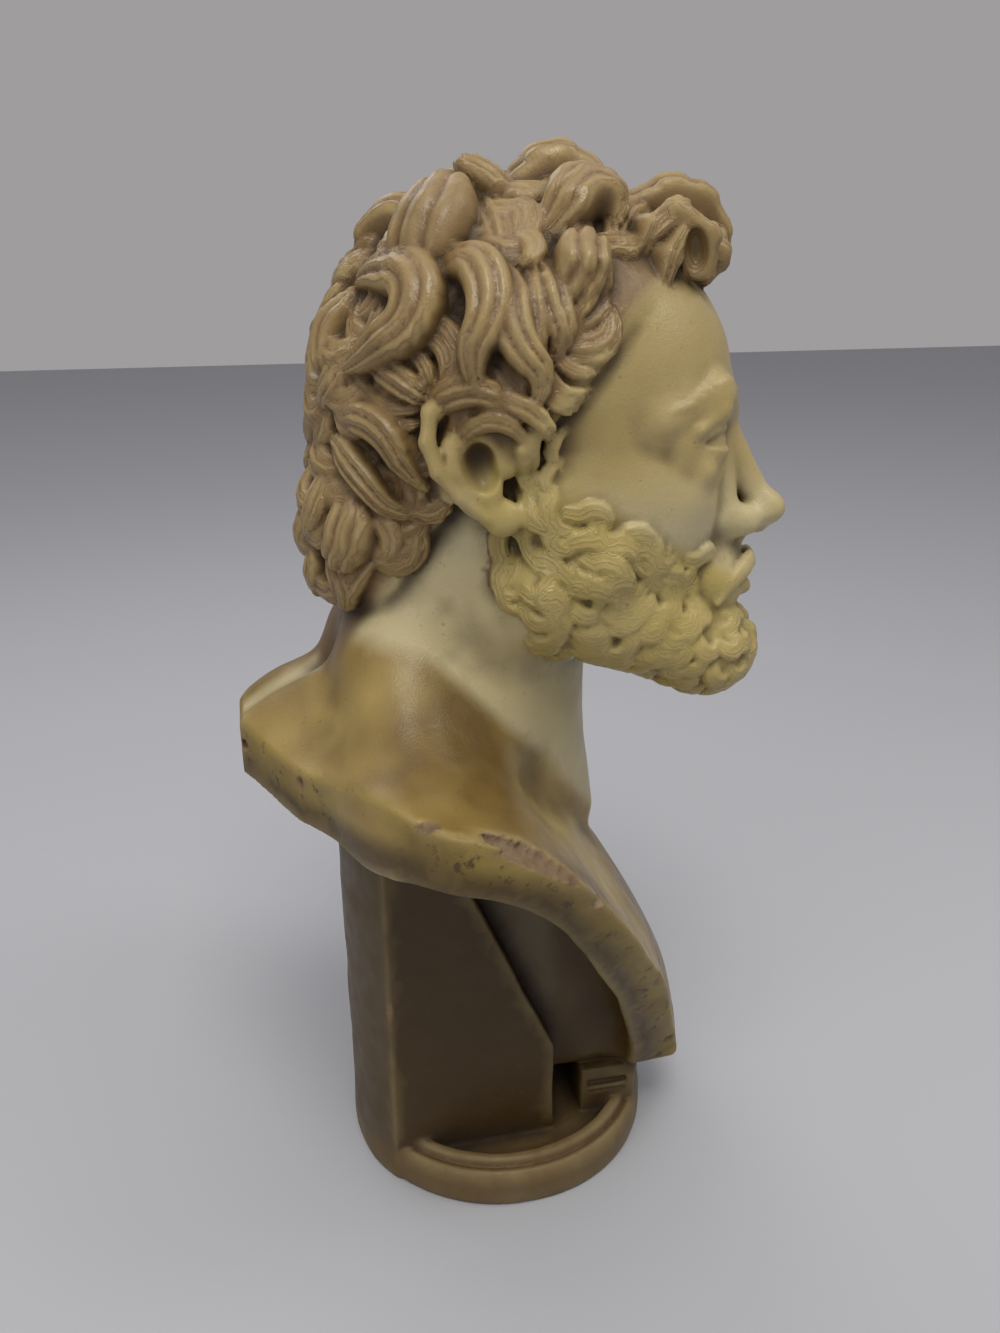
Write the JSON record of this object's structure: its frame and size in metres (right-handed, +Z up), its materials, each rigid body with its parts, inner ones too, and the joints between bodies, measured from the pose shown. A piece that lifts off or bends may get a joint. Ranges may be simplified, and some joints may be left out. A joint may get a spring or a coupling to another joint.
{
  "type": "plaster bust",
  "caption": "Patinated plaster bust of a bearded man with curly hair, on a slab pillar with a round moulded foot. Stands by its own weight.",
  "frame": {"origin": "middle of the round foot's flat underside", "axes": "+Z up, along the bust's height; the front of the chest looks towards -Y; the figure's right side is -X, and its head is turned towards that side"},
  "size_m": [0.3035, 0.2775, 0.5578],
  "materials": {
    "patinated_plaster": "waxed olive and ochre patina over plaster, rubbed pale on the edges, brown in the hollows"
  },
  "bodies": {
    "root": {"plaster_bust": "patinated_plaster"}
  },
  "joints": []
}
